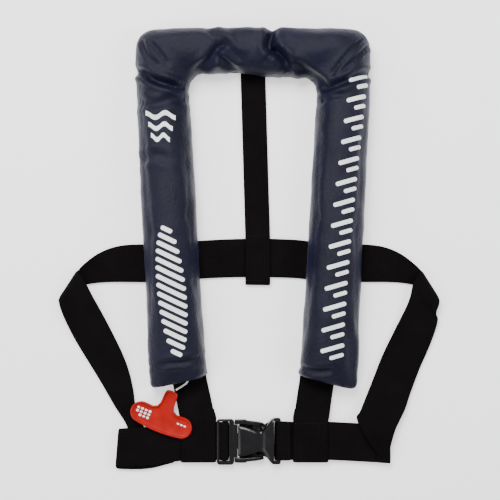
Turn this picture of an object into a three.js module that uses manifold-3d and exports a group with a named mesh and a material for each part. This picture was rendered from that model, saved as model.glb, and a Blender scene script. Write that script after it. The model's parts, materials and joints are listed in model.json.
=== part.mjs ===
// Inflatable life jacket, lying on its back with the front face up.
// Millimetres: +X to the right, +Y towards the collar, +Z up from the surface it lies on.
import * as THREE from 'three';
import { mergeVertices } from 'three/addons/utils/BufferGeometryUtils.js';
import Module from 'manifold-3d';

const wasm = await Module();
wasm.setup();

// ---- driving dimensions -------------------------------------------------------------
const gap = 0.3;               // clearance between pieces that touch
const webThick = 1.8;          // webbing
const beltWidth = 50;
const backStrapWidth = 32;
const loopWidth = 46;          // webbing of the loops under the lobes
const panelThick = 1.5;        // cloth back panels
const coverWall = 1.6;         // padded front cover

const coverCentreX = 5;        // middle line of the cover
const lobeSpreadTop = 233;     // between the lobes' middle lines, at the shoulder
const lobeSpreadEnd = 193;     // the same at the lower ends
const lobeWidthTop = 74;
const lobeWidthEnd = 79;
const lobeHeight = 42;
const lobeEndY = -171;         // middle of a lobe's lower end
const lobeEndSlant = 18;       // how much lower the outer corner sits than the inner one
const lobeEndDrop = 0.62;      // height left at the end face
const shoulderY = 204;         // line on which the collar folds
const collarTopY = 284;
const neckEdgeY = 225;         // the collar's lower edge
const collarHeight = 47;
const outerCornerRadius = 24;
const innerCornerRadius = 22;

const beltY = -247;            // front belt and buckle
const backBeltY = -17;         // back belt
const sideFoldY = -62;         // lowest point of the upper corner folds
const sideFoldReach = 246;     // how far out the upper corner folds lie
const beltCornerX = 172;       // where the front belt doubles back, both sides
const releaseTravel = 34;      // the buckle's way out

const tabTilt = 22 * Math.PI / 180;   // pull direction, from straight down towards -X
const pullTravel = 30;
const tabThick = 4.5;
const tabWingLength = 84;
const tabWingHeight = 28;
const tabStemWidth = 19;
const tabStemLength = 26;
const cordDiameter = 2.4;

const cylinderRadius = 14;
const cylinderLength = 112;
const inflatorX = -92;         // axis of cylinder and firing pin
const leverPivotY = -136;
const leverReach = 26;
const leverRestAngle = 12 * Math.PI / 180;

const layer = (n) => n * (webThick + gap);       // underside of the nth web above the floor
const layerMiddle = (n) => layer(n) + webThick / 2;
const panelZ = layer(2);
const coverZ = panelZ + panelThick + gap;
const buckleZ = layerMiddle(3);

// ---- solids -------------------------------------------------------------------------
function toSolid(geometry) {
  const bare = (geometry.index ? geometry.toNonIndexed() : geometry).clone();
  bare.deleteAttribute('normal');
  bare.deleteAttribute('uv');
  const merged = mergeVertices(bare, 1e-4);
  return new wasm.Manifold(new wasm.Mesh({
    numProp: 3,
    vertProperties: new Float32Array(merged.attributes.position.array),
    triVerts: new Uint32Array(merged.index.array),
  }));
}

function toGeometry(solid) {
  const mesh = solid.getMesh();
  const points = new Float32Array(mesh.numVert * 3);
  for (let i = 0; i < mesh.numVert; i++) {
    for (let k = 0; k < 3; k++) points[i * 3 + k] = mesh.vertProperties[i * mesh.numProp + k];
  }
  const geometry = new THREE.BufferGeometry();
  geometry.setAttribute('position', new THREE.BufferAttribute(points, 3));
  geometry.setIndex(new THREE.BufferAttribute(new Uint32Array(mesh.triVerts), 1));
  const flat = geometry.toNonIndexed();
  flat.computeVertexNormals();
  return flat;
}

function cut(body, ...tools) {
  return toGeometry(tools.reduce((rest, tool) => rest.subtract(toSolid(tool)), toSolid(body)));
}

function join(...bodies) {
  return toGeometry(bodies.slice(1).reduce((sum, b) => sum.add(toSolid(b)), toSolid(bodies[0])));
}

function box(x0, x1, y0, y1, z0, z1) {
  const geometry = new THREE.BoxGeometry(x1 - x0, y1 - y0, z1 - z0);
  return geometry.translate((x0 + x1) / 2, (y0 + y1) / 2, (z0 + z1) / 2);
}

function plate(outline, z0, z1) {
  const shape = outline instanceof THREE.Shape ? outline
    : new THREE.Shape(outline.map(([x, y]) => new THREE.Vector2(x, y)));
  const geometry = new THREE.ExtrudeGeometry(shape, { depth: z1 - z0, bevelEnabled: false, curveSegments: 10 });
  return geometry.translate(0, 0, z0);
}

// Closed skin over a row of rings that all have the same number of points.
function loft(rings) {
  const count = rings[0].length;
  const index = [];
  for (let r = 0; r + 1 < rings.length; r++) {
    for (let i = 0; i < count; i++) {
      const next = (i + 1) % count;
      const a = r * count + i, b = r * count + next, c = (r + 1) * count + next, d = (r + 1) * count + i;
      index.push(a, b, c, a, c, d);
    }
  }
  const last = (rings.length - 1) * count;
  for (let i = 1; i + 1 < count; i++) index.push(0, i + 1, i, last, last + i, last + i + 1);
  const geometry = new THREE.BufferGeometry();
  geometry.setAttribute('position', new THREE.Float32BufferAttribute(rings.flat(2), 3));
  geometry.setIndex(index);
  if (toSolid(geometry).volume() < 0) geometry.setIndex(index.reverse());
  return toGeometry(toSolid(geometry));
}

// Flat web along rows of [left point, right point, height of its underside].
function ribbon(rows, thick) {
  return loft(rows.map(([[lx, ly], [rx, ry], z]) => [[lx, ly, z], [rx, ry, z], [rx, ry, z + thick], [lx, ly, z + thick]]));
}

// Round bar along Y from y0 to y1; radii given as [distance along, radius] pairs.
function turned(profile, x, y0, z, sides = 20) {
  const points = profile.map(([along, radius]) => new THREE.Vector2(radius, along));
  const geometry = new THREE.LatheGeometry(points, sides);
  return geometry.translate(x, y0, z);
}

// Flat web seen from its edge: a centre line in one plane, thickened, extruded across its width.
function webLoop(centreLine, thick, width) {
  const side = (sign) => centreLine.map(([a, b], i) => {
    const [pa, pb] = centreLine[Math.max(i - 1, 0)];
    const [na, nb] = centreLine[Math.min(i + 1, centreLine.length - 1)];
    const length = Math.hypot(na - pa, nb - pb);
    return [a - sign * (nb - pb) / length * thick / 2, b + sign * (na - pa) / length * thick / 2];
  });
  const outline = [...side(1), ...side(-1).reverse()];
  const shape = new THREE.Shape(outline.map(([a, b]) => new THREE.Vector2(a, b)));
  return new THREE.ExtrudeGeometry(shape, { depth: width, bevelEnabled: false }).translate(0, 0, -width / 2);
}

// The same with its centre line in X and Z, and its width along Y about y.
function webAlongX(centreLine, thick, width, y) {
  return webLoop(centreLine, thick, width).rotateX(Math.PI / 2).translate(0, y, 0);
}

function arcPoints(centreA, centreB, radiusA, radiusB, from, to, steps) {
  return Array.from({ length: steps + 1 }, (_, i) => {
    const angle = from + (to - from) * i / steps;
    return [centreA + radiusA * Math.cos(angle), centreB + radiusB * Math.sin(angle)];
  });
}

const lerp = (a, b, t) => a + (b - a) * t;

// ---- the cover's cross sections, from the shoulder down each lobe and round the collar -----
// A station is an outer and an inner edge point on the floor plan and a height.
function lobeStation(side, t) {
  const middle = coverCentreX + side * lerp(lobeSpreadTop, lobeSpreadEnd, t) / 2;
  const half = lerp(lobeWidthTop, lobeWidthEnd, t) / 2;
  const y = lerp(shoulderY, lobeEndY, t);
  const slant = lobeEndSlant / 2 * t ** 6;
  const height = lobeHeight * lerp(1, lobeEndDrop, Math.max(0, (t - 0.9) / 0.1) ** 2);
  return { outer: [middle + side * half, y - slant], inner: [middle - side * half, y + slant], height };
}

function lobeStations(side, from, to, steps) {
  return Array.from({ length: steps + 1 }, (_, i) => lobeStation(side, lerp(from, to, i / steps)));
}

function cornerPath(side, half, topY, radius) {
  const cornerX = half - radius;
  const cornerY = topY - radius;
  const leg = [[half, shoulderY], [half, lerp(shoulderY, cornerY, 0.6)]];
  const arc = arcPoints(cornerX, cornerY, radius, radius, 0, Math.PI / 2, 4);
  const bar = [0.6, 0.3, 0].map((share) => [cornerX * share, topY]);
  return [...leg, ...arc, ...bar].map(([x, y]) => [coverCentreX + side * x, y]);
}

function collarStations(overlap) {
  const half = lobeSpreadTop / 2;
  const half2 = lobeWidthTop / 2;
  const sideOf = (side) => {
    const outer = cornerPath(side, half + half2, collarTopY, outerCornerRadius);
    const inner = cornerPath(side, half - half2, neckEdgeY, innerCornerRadius * 0.7);
    return outer.map((point, i) => ({
      outer: point, inner: inner[i], height: lerp(lobeHeight, collarHeight, Math.min(1, i / 4)),
    }));
  };
  const left = sideOf(-1);
  const right = sideOf(1).reverse();
  const all = [...left, ...right.slice(1)];
  const shift = gap / 2 - overlap;
  all[0].outer[1] += shift;
  all[0].inner[1] += shift;
  all[all.length - 1].outer[1] += shift;
  all[all.length - 1].inner[1] += shift;
  return all;
}

// Loft of domed cross sections with a flat underside.
function domeLoft(stations, inset, base, drop = 0, fullness = 0.62, steps = 10) {
  const rings = stations.map(({ outer, inner, height }) => {
    const across = [inner[0] - outer[0], inner[1] - outer[1]];
    const width = Math.hypot(...across);
    const unit = across.map((c) => c / width);
    return Array.from({ length: steps + 1 }, (_, i) => {
      const angle = Math.PI * i / steps;
      const along = inset + (width - 2 * inset) * (1 - Math.cos(angle)) / 2;
      const lift = (height - inset) * Math.max(Math.sin(angle), 0) ** fullness;
      const z = i === 0 || i === steps ? base - drop : base + lift;
      return [outer[0] + unit[0] * along, outer[1] + unit[1] * along, z];
    });
  });
  return loft(rings);
}

function panelOutline(stations, inset = 0) {
  const pull = ({ outer, inner }, share) => {
    const width = Math.hypot(inner[0] - outer[0], inner[1] - outer[1]);
    const t = share ? 1 - inset / width : inset / width;
    return [lerp(outer[0], inner[0], t), lerp(outer[1], inner[1], t)];
  };
  return [...stations.map((s) => pull(s, 0)), ...stations.map((s) => pull(s, 1)).reverse()];
}

// ---- the assembly ---------------------------------------------------------------------
const jacket = new THREE.Group();
const navy = { color: 0x232437, roughness: 0.62, metalness: 0 };
const blackWeb = { color: 0x161417, roughness: 0.78, metalness: 0 };
const buckleBlack = { color: 0x1b1b1f, roughness: 0.28, metalness: 0 };
const bladderYellow = { color: 0xd8c92a, roughness: 0.55, metalness: 0 };
const innerBlack = { color: 0x202226, roughness: 0.45, metalness: 0 };
const signalRed = { color: 0xcd2d23, roughness: 0.42, metalness: 0 };
const steel = { color: 0xa9adb3, roughness: 0.3, metalness: 0.9 };

function add(name, geometry, finish, parent = jacket) {
  const mesh = new THREE.Mesh(geometry, new THREE.MeshStandardMaterial(finish));
  mesh.name = name;
  parent.add(mesh);
  return mesh;
}

const endShare = (distance) => distance / (shoulderY - lobeEndY);
const rootStart = gap / 2 / (shoulderY - lobeEndY);

// ---- lobes: front cover, back panel, closure strip ---------------------------------------
const cordExit = [-80, lobeEndY + 1];
const leverTop = coverZ + 20;

for (const [side, word] of [[-1, 'left'], [1, 'right']]) {
  const outer = domeLoft(lobeStations(side, rootStart, 1, 9), 0, coverZ);
  const inner = domeLoft(lobeStations(side, -endShare(6), 1 - endShare(coverWall + 1), 9), coverWall, coverZ, 2);
  const openings = side < 0
    ? [box(cordExit[0] - 10, cordExit[0] + 14, lobeEndY - 12, lobeEndY + 14, coverZ - 1, leverTop)] : [];
  add(`cover_${word}_front`, cut(outer, inner, ...openings), navy);
  const panel = panelOutline(lobeStations(side, rootStart, 1, 9));
  add(`cover_${word}_back`, plate(panel, panelZ, panelZ + panelThick), navy);
}

// ---- collar -------------------------------------------------------------------------------
{
  const outer = domeLoft(collarStations(0), 0, coverZ);
  const inner = domeLoft(collarStations(6), coverWall, coverZ, 2);
  add('collar_front', cut(outer, inner), navy);
  add('collar_back', plate(panelOutline(collarStations(0)), panelZ, panelZ + panelThick), navy);
  add('bladder_collar', domeLoft(collarStations(0), coverWall + gap, coverZ), bladderYellow);
}

// ---- closure strips, bladders ---------------------------------------------------------------
const bladderFloor = coverZ + 3.6;      // top of the thin folded layer under the working parts
for (const [side, word] of [[-1, 'left'], [1, 'right']]) {
  const stations = lobeStations(side, rootStart, 1 - endShare(coverWall + 3), 9);
  const whole = domeLoft(stations, coverWall + gap, coverZ);
  const pocket = box(side < 0 ? -160 : 40, side < 0 ? -40 : 170, lobeEndY - 20, 30, bladderFloor, 80);
  add(`bladder_${word}`, cut(whole, pocket), bladderYellow);
}

// ---- inflator in the left lobe ----------------------------------------------------------------
const stemX = inflatorX - 17;
const stemY = -116;
const flangeZ = bladderFloor + gap;
const gasketZ = flangeZ + 1.5 + gap;
const bodyZ = gasketZ + 1 + gap;
const bodyTall = 23;
const axisZ = bodyZ + bodyTall / 2;
const bodyTopY = -95;
const neckLength = 11;
const pinRadius = 3;
const springLength = 5.2;
const stemRadius = 5;
const pinTravel = 4;

const rod = (x, y0, y1, z, radius, sides = 20) =>
  new THREE.CylinderGeometry(radius, radius, y1 - y0, sides).translate(x, (y0 + y1) / 2, z);
const post = (x, y, z0, z1, radius, sides = 20) =>
  new THREE.CylinderGeometry(radius, radius, z1 - z0, sides).rotateX(Math.PI / 2).translate(x, y, (z0 + z1) / 2);

{
  const shell = box(inflatorX - 26, inflatorX + 11, leverPivotY - 6, bodyTopY, bodyZ, bodyZ + bodyTall);
  const slot = plate([[inflatorX - 7, leverPivotY - 8], [inflatorX - 7, leverPivotY + 5],
    [inflatorX + 3, leverPivotY + 5], [inflatorX + 13, leverPivotY + 8], [inflatorX + 13, leverPivotY - 8]],
  axisZ - 3.2, axisZ + 3.2);
  add('inflator_body', cut(shell, slot,
    rod(inflatorX, bodyTopY - neckLength - 1, bodyTopY + 1, axisZ, 7.6),
    rod(inflatorX, leverPivotY + 4, bodyTopY - neckLength, axisZ, pinRadius + 0.4),
    rod(inflatorX, leverPivotY + 4, leverPivotY + 18, axisZ, 5.4),
    post(stemX, stemY, bodyZ - 1, bodyZ + bodyTall + 1, stemRadius + gap)), innerBlack);

  const neck = bodyTopY - neckLength + 0.3;
  add('co2_cylinder', turned([[0, 0], [0, 6.8], [neckLength + 2, 6.8], [neckLength + 12, cylinderRadius],
    [cylinderLength - 8, cylinderRadius], [cylinderLength - 2, 9], [cylinderLength, 0]],
  inflatorX, neck, axisZ, 24), steel);

  const pinBase = leverPivotY + 4.8;
  add('firing_pin', turned([[0, 0], [0, 5], [2, 5], [2, pinRadius], [15, pinRadius], [18.5, 0]],
    inflatorX, pinBase, axisZ, 16), steel);
  const turns = 2;
  const coil = new THREE.CatmullRomCurve3(Array.from({ length: turns * 8 + 1 }, (_, i) => {
    const angle = i * Math.PI / 4;
    const along = leverPivotY + 18 - gap - 0.7 - (springLength - 1.4) * i / (turns * 8);
    return new THREE.Vector3(inflatorX + 4.3 * Math.cos(angle), along, axisZ + 4.3 * Math.sin(angle));
  }));
  const wire = new THREE.Shape(arcPoints(0, 0, 0.5, 0.5, 0, Math.PI * 5 / 3, 5).map(([a, b]) => new THREE.Vector2(a, b)));
  add('pin_spring', new THREE.ExtrudeGeometry(wire, { steps: turns * 10, extrudePath: coil }), steel);

  const reach = [inflatorX + leverReach * Math.cos(leverRestAngle), leverPivotY + leverReach * Math.sin(leverRestAngle)];
  const normal = [-Math.sin(leverRestAngle) * 2.4, Math.cos(leverRestAngle) * 2.4];
  const arm = plate([[inflatorX - normal[0], leverPivotY - normal[1]], [reach[0] - normal[0], reach[1] - normal[1]],
    [reach[0] + normal[0], reach[1] + normal[1]], [inflatorX + normal[0], leverPivotY + normal[1]]],
  axisZ - 2.8, axisZ + 2.8);
  const lever = join(post(inflatorX, leverPivotY, axisZ - 2.8, axisZ + 2.8, 4.4), arm,
    post(...reach, axisZ - 2.8, axisZ + 2.8, 3.8, 14));
  add('inflator_lever', cut(lever, post(inflatorX, leverPivotY, axisZ - 4, axisZ + 4, 1.8, 12)), signalRed);
  add('lever_pin', post(inflatorX, leverPivotY, axisZ - 3.1, axisZ + 3.1, 1.5, 12), steel);

  add('manifold_stem', join(post(stemX, stemY, flangeZ, flangeZ + 1.5, 14, 24),
    post(stemX, stemY, flangeZ, bodyZ + bodyTall + 6, stemRadius - gap)), innerBlack);
  const ring = (radius, hole, z0, z1, sides) => cut(post(stemX, stemY, z0, z1, radius, sides),
    post(stemX, stemY, z0 - 1, z1 + 1, hole));
  add('manifold_gasket', ring(9, stemRadius + 0.1, gasketZ, gasketZ + 1, 24), innerBlack);
  add('manifold_nut', ring(8.5, stemRadius + 0.1, bodyZ + bodyTall + gap, bodyZ + bodyTall + 5, 6), innerBlack);
}

// ---- oral inflation tube and whistle in the right lobe --------------------------------------------
{
  const tubeX = 104;
  const tubeZ = bladderFloor + 14;
  const tubeEndY = -118;
  const round = (radius, sides) => new THREE.Shape(
    arcPoints(0, 0, radius, radius, 0, 2 * Math.PI * (1 - 1 / sides), sides - 1).map(([a, b]) => new THREE.Vector2(a, b)));
  const route = new THREE.CatmullRomCurve3([[tubeX, 0, bladderFloor + gap], [tubeX, 0, bladderFloor + 7],
    [tubeX, -5, tubeZ - 2], [tubeX, -14, tubeZ], [tubeX, -60, tubeZ], [tubeX, tubeEndY, tubeZ]]
    .map((p) => new THREE.Vector3(...p)));
  add('oral_tube', new THREE.ExtrudeGeometry(round(6, 12), { steps: 24, extrudePath: route }), innerBlack);
  add('oral_valve', turned([[0, 0], [0, 4], [8, 4], [8, 8], [18, 8], [18, 0]], tubeX, tubeEndY - gap - 18, tubeZ),
    innerBlack);
  const capStart = tubeEndY - gap - 18;
  add('oral_cap', turned([[-3, 0], [-3, 9.6], [8, 9.6], [8, 8.3], [-gap, 8.3], [-gap, 0]], tubeX, capStart, tubeZ), signalRed);
  const whistleZ = bladderFloor + gap;
  add('whistle', cut(box(76, 90, -78, -34, whistleZ, whistleZ + 9), box(78, 88, -80, -50, whistleZ + 3, whistleZ + 6),
    box(78, 88, -64, -59, whistleZ + 4, whistleZ + 10)), signalRed);
}

// ---- back strap and belts ---------------------------------------------------------------------------
const strapTopX = 5, strapLowX = 11;
const keeperTop = backBeltY + beltWidth / 2 + 2.5;
{
  const half = backStrapWidth / 2;
  const top = neckEdgeY + 20;
  const rows = Array.from({ length: 9 }, (_, i) => {
    const y = lerp(top, keeperTop + gap, i / 8), x = lerp(strapTopX, strapLowX, i / 8);
    return [[x - half, y], [x + half, y], layer(1) * Math.max(0, Math.min(1, (neckEdgeY - 30 - y) / 150))];
  });
  add('back_strap', ribbon(rows, webThick), blackWeb);
  const low = backBeltY - beltWidth / 2 - 2.5;
  const block = box(strapLowX - half, strapLowX + half, low, keeperTop, 0, layer(2) + webThick);
  const hole = box(strapLowX - half - 1, strapLowX + half + 1, low + webThick, keeperTop - webThick, webThick, layer(2));
  add('back_strap_keeper', cut(block, hole), blackWeb);
}

// The outline that a back belt corner shares with the strap folded over it.
const foldShoulder = [198, -5], foldMid = [221, -25], foldInner = [233, -41];
const innerCorner = [210, backBeltY - beltWidth / 2];
{
  const low = backBeltY - beltWidth / 2, high = backBeltY + beltWidth / 2;
  const half = [[150, high], [172, high - 3], [186, high - 7], foldShoulder, [208, -12], foldMid, foldInner, [230, low]];
  add('back_belt', plate([...half, ...half.map(([x, y]) => [-x, y]).reverse()], layer(1), layer(1) + webThick), blackWeb);
}

const cornerLowY = beltY - beltWidth / 2 - 7;
const strapTopZ = layer(2);
// Rows of a side strap, from the fold at the back belt down to the front belt: outer and inner edge.
function sideStrap(side, lowLayer, lowRows) {
  const rows = [[[208, -12], [206, -14]], [foldMid, [219.5, -27]], [[sideFoldReach, sideFoldY], innerCorner],
    [[242, -84], [199, -66]], [[229, -112], [182, -95]], [[217, -135], [166, -130]], ...lowRows];
  const bottom = rows[rows.length - 1][0][1];
  return ribbon(rows.map(([outer, inner]) => [[side * outer[0], outer[1]], [side * inner[0], inner[1]],
    lerp(strapTopZ, layer(lowLayer), Math.max(0, Math.min(1, (-70 - outer[1]) / (-70 - bottom - 50))))]), webThick);
}
add('side_strap_left', sideStrap(-1, 1, [[[188, -180], [152, -165]], [[161, -222], [147, -205]],
  [[149, -245], [128, -236]]]), blackWeb);
add('side_strap_right', sideStrap(1, 5, [[[205, -192], [158, -176]], [[190, -228], [142, -212]],
  [[181, -243], [139, -221]], [[178, cornerLowY + 5], [174, cornerLowY + 6]]]), blackWeb);

// ---- lower corners and front belt ----------------------------------------------------------------------
const movingEnd = -(beltCornerX - releaseTravel - 4);
const cornerMouth = movingEnd + 10;
const cornerSag = 12;          // how far the left corner hangs below the belt's line
{
  const bend = arcPoints(-beltCornerX + 4, layerMiddle(3), 3.1, layer(1), Math.PI / 2, Math.PI * 1.5, 8);
  const fold = webAlongX([[cornerMouth, layerMiddle(4)], ...bend, [cornerMouth, layerMiddle(2)]], webThick, beltWidth, beltY - cornerSag);
  add('belt_corner_left', fold, blackWeb);
}

const barX = 38.5, barReach = 2.3, cornerRight = 179;
{
  const over = buckleZ + 5, under = buckleZ - 5;
  const wrap = arcPoints(barX - 0.4, buckleZ, 4.1, 5, Math.PI / 2, Math.PI * 1.5, 8);
  const line = [[53.5, layerMiddle(4)], [46.5, over - 0.7], ...wrap, [46.5, under + 0.9], [53.5, layerMiddle(3) - 0.3], [56, layerMiddle(3)],
    [cornerRight, layerMiddle(3)]];
  add('front_belt_right', webAlongX(line, webThick, beltWidth, beltY), blackWeb);

  const edge = cornerRight + gap, top = layer(4) + webThick;
  const hook = new THREE.Shape([[edge, layer(3)], [edge + webThick, layer(3)], [edge + webThick, top], [140, top],
    [140, layer(4)], [edge, layer(4)]].map(([x, z]) => new THREE.Vector2(x, z)));
  const doubled = new THREE.ExtrudeGeometry(hook, { depth: beltWidth, bevelEnabled: false });
  add('belt_corner_right', doubled.rotateX(Math.PI / 2).translate(0, beltY + beltWidth / 2, 0), blackWeb);
}

// ---- loops under the lobes --------------------------------------------------------------------------------
const ringHigh = beltY + beltWidth / 2 + 3.5, ringLow = beltY - beltWidth / 2 - 2.5;
function loopRing(x0, x1) {
  return cut(box(x0, x1, ringLow, ringHigh, layer(2), layer(4) + webThick),
    box(x0 - 1, x1 + 1, ringLow + 1.6, ringHigh - 1.6, layer(3) - gap, layer(4)));
}
function loopStrap(topX, lowX) {
  const rows = [-140, -183, -192, -204, ringHigh + gap];
  return ribbon(rows.map((y) => {
    const x = lerp(topX, lowX, (rows[0] - y) / (rows[0] - rows[4]));
    return [[x - loopWidth / 2, y], [x + loopWidth / 2, y], Math.max(0, Math.min(1, (-183 - y) / 33)) * (layer(2) + 1)];
  }), layer(2) - gap);
}
const loopLeftX = -65.6, loopRightX = 79.5;
add('loop_left_strap', loopStrap(-79, loopLeftX), blackWeb);
add('loop_left_ring', loopRing(loopLeftX - loopWidth / 2, loopLeftX + loopWidth / 2), blackWeb);
add('loop_right_strap', loopStrap(89, loopRightX), blackWeb);
add('loop_right_ring', loopRing(loopRightX - loopWidth / 2, loopRightX + loopWidth / 2), blackWeb);

// ---- buckle ---------------------------------------------------------------------------------------------------
const mouthX = -14.6, frameLeft = -42, frameRight = -19.5;
const frameHalf = 28.4, slotHalf = 25.6, armZ = 4, frameZ = 3;
{
  const half = [[mouthX, 20], [-4, 18.6], [5, 15.4], [12, 13.2], [17, 13.6], [20.5, 17], [24, 22.5], [28, 27.5], [33, 30],
    [39, 30], [40.8, 28.5]];
  const outline = [...half, ...half.map(([x, y]) => [x, -y]).reverse()].map(([x, y]) => [x, y + beltY]);
  const body = plate(outline, 0, 2 * buckleZ);
  const rear = 29;
  add('buckle_female', cut(body,
    box(mouthX - 1, 12, beltY - 10.6, beltY + 10.6, buckleZ - 3, buckleZ + 3),
    box(rear + 3, 60, beltY - 40, beltY + 40, buckleZ + 3, 30), box(rear + 3, 60, beltY - 40, beltY + 40, -1, buckleZ - 3),
    box(rear + 3, barX - barReach, beltY - slotHalf, beltY + slotHalf, -1, 30)), buckleBlack);

  const frame = box(frameLeft, frameRight, beltY - frameHalf, beltY + frameHalf, buckleZ - frameZ, buckleZ + frameZ);
  const slots = [[-38.6, -34.8], [-29.6, -25.9]].map(([a, b]) =>
    box(a, b, beltY - slotHalf, beltY + slotHalf, -1, 30));
  const thinBar = [box(-34.9, -29.5, beltY - slotHalf, beltY + slotHalf, buckleZ + 1.4, 30),
    box(-34.9, -29.5, beltY - slotHalf, beltY + slotHalf, -1, buckleZ - 1.4)];
  const underpass = box(frameLeft - 1, -38.5, beltY - slotHalf, beltY + slotHalf, -1, buckleZ + 1.2);
  const tongue = box(frameRight - 1, 11, beltY - 10, beltY + 10, buckleZ - 2.6, buckleZ + 2.6);
  add('buckle_male', join(cut(frame, ...slots, ...thinBar, underpass), tongue), buckleBlack);

  const prong = [[frameRight + gap, 21.8], [frameRight + gap, 28], [-5, 28], [-3, 26.4], [10, 25.2], [18.2, 23.4],
    [19, 21.6], [16, 20.4], [4, 20.8], [-8, 21.8]];
  for (const [side, word] of [[1, 'upper'], [-1, 'lower']]) {
    add(`prong_${word}`, plate(prong.map(([x, y]) => [x, beltY + side * y]), buckleZ - armZ, buckleZ + armZ), buckleBlack);
  }

  const wrap = arcPoints(-32.2, buckleZ, 4.2, 3.6, Math.PI, 0, 8);
  const line = [[movingEnd, layerMiddle(3)], [-50, layerMiddle(3)], [-44, buckleZ - 0.2], [-38, buckleZ - 0.4],
    ...wrap, [-28.4, buckleZ - 2.6]];
  add('front_belt_left', webAlongX(line, webThick * 0.9, beltWidth, beltY), blackWeb);
}

// ---- pull tab and its cord -----------------------------------------------------------------------------------------
{
  const halfWing = tabWingLength / 2, tip = tabWingHeight / 2, stem = tabStemWidth / 2, fillet = 7;
  const shape = new THREE.Shape();
  shape.moveTo(stem, tip + fillet);
  shape.lineTo(stem - 1, tip + tabStemLength - 4);
  shape.quadraticCurveTo(stem - 1.5, tip + tabStemLength, stem - 6, tip + tabStemLength);
  shape.lineTo(-stem + 6, tip + tabStemLength);
  shape.quadraticCurveTo(-stem + 1.5, tip + tabStemLength, -stem + 1, tip + tabStemLength - 4);
  shape.lineTo(-stem, tip + fillet);
  shape.quadraticCurveTo(-stem, tip, -stem - fillet, tip - 1);
  shape.lineTo(-halfWing + tip, tip);
  shape.absarc(-halfWing + tip, 0, tip, Math.PI / 2, Math.PI * 1.5, false);
  shape.quadraticCurveTo(0, -tip - 5, halfWing - tip, -tip);
  shape.absarc(halfWing - tip, 0, tip, -Math.PI / 2, Math.PI / 2, false);
  shape.lineTo(stem + fillet, tip - 1);
  shape.quadraticCurveTo(stem, tip, stem, tip + fillet);
  const group = new THREE.Group();
  group.position.set(-113.5, -219, layer(5));
  group.rotation.z = -tabTilt;
  jacket.add(group);
  const blank = new THREE.ExtrudeGeometry(shape, { depth: tabThick, bevelEnabled: false, curveSegments: 8 });
  const eye = post(0, tip + tabStemLength - 3, tabThick / 2 - 1.6, tabThick / 2 + 1.6, 4, 12);
  const mouth = box(-1.7, 1.7, tip + tabStemLength - 4, tip + tabStemLength + 2, tabThick / 2 - 1.6, tabThick / 2 + 1.6);
  add('pull_tab', cut(blank, eye, mouth), signalRed, group);
}
const cordPoints = [[-66.3, -136.4, axisZ], [-67.3, -139.8, axisZ - 1.5], [-69.5, -144, axisZ - 5.5], [-71.5, -149.5, axisZ - 10],
  [-73.8, -155, 12.6], [-76, -160.5, 11.6], [-78.3, -166, 11.2], [-80.6, -171, 11], [-85.5, -175, 11.6], [-91, -178.3, 12.4],
  [-94.6, -180.6, layer(5) + tabThick / 2]];
{
  const curve = new THREE.CatmullRomCurve3(cordPoints.map((p) => new THREE.Vector3(...p)));
  const section = new THREE.Shape(arcPoints(0, 0, cordDiameter / 2, cordDiameter / 2, 0, Math.PI * 1.75, 7)
    .map(([a, b]) => new THREE.Vector2(a, b)));
  add('pull_cord', new THREE.ExtrudeGeometry(section, { steps: 18, extrudePath: curve }), { color: 0xe8e8e4, roughness: 0.7 });
}

export default jacket;
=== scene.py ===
import json
import math
import bpy
import bmesh
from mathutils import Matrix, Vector, noise
from mathutils.bvhtree import BVHTree


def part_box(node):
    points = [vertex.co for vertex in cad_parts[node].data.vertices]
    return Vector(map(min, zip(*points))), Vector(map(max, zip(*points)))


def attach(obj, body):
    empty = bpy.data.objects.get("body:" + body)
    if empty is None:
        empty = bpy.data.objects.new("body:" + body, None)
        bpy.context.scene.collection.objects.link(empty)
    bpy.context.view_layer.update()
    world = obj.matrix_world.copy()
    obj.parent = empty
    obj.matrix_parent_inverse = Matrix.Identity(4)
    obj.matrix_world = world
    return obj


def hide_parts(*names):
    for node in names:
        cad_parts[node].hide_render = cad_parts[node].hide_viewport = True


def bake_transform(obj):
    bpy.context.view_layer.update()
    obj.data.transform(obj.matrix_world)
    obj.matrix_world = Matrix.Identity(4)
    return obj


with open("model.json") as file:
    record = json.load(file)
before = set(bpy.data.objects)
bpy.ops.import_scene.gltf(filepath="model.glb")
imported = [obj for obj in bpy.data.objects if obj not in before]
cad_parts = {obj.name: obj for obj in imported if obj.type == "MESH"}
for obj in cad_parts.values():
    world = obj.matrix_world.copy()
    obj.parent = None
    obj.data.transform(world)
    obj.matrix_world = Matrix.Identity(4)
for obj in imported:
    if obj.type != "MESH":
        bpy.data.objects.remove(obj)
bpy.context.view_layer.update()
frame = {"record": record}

mm = 0.001
root = next(name for name, nodes in frame["record"]["behaviour"]["bodies"].items() if "cover_left_front" in nodes)

# camera, straight above the jacket
view = {"height": 1.6, "field": 0.65, "sensor": 36.0, "x": 0.001, "y": 0.0}
cameraData = bpy.data.cameras.new("overhead")
cameraData.sensor_width = view["sensor"]
cameraData.lens = view["sensor"] * view["height"] / view["field"]
camera = bpy.data.objects.new("overhead", cameraData)
camera.location = (view["x"], view["y"], view["height"])
bpy.context.collection.objects.link(camera)
bpy.context.scene.camera = camera


# ---- small helpers ----
def lerp(a, b, t):
    return a + (b - a) * t


def clamp(value, low=0.0, high=1.0):
    return max(low, min(high, value))


def smooth(t):
    t = clamp(t)
    return t * t * (3 - 2 * t)


def meshObject(name, verts, faces, shade=True):
    data = bpy.data.meshes.new(name)
    data.from_pydata([tuple(v) for v in verts], [], faces)
    tidy = bmesh.new()
    tidy.from_mesh(data)
    bmesh.ops.recalc_face_normals(tidy, faces=tidy.faces)
    tidy.to_mesh(data)
    tidy.free()
    if shade:
        data.shade_smooth()
    obj = bpy.data.objects.new(name, data)
    bpy.context.collection.objects.link(obj)
    return obj


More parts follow.
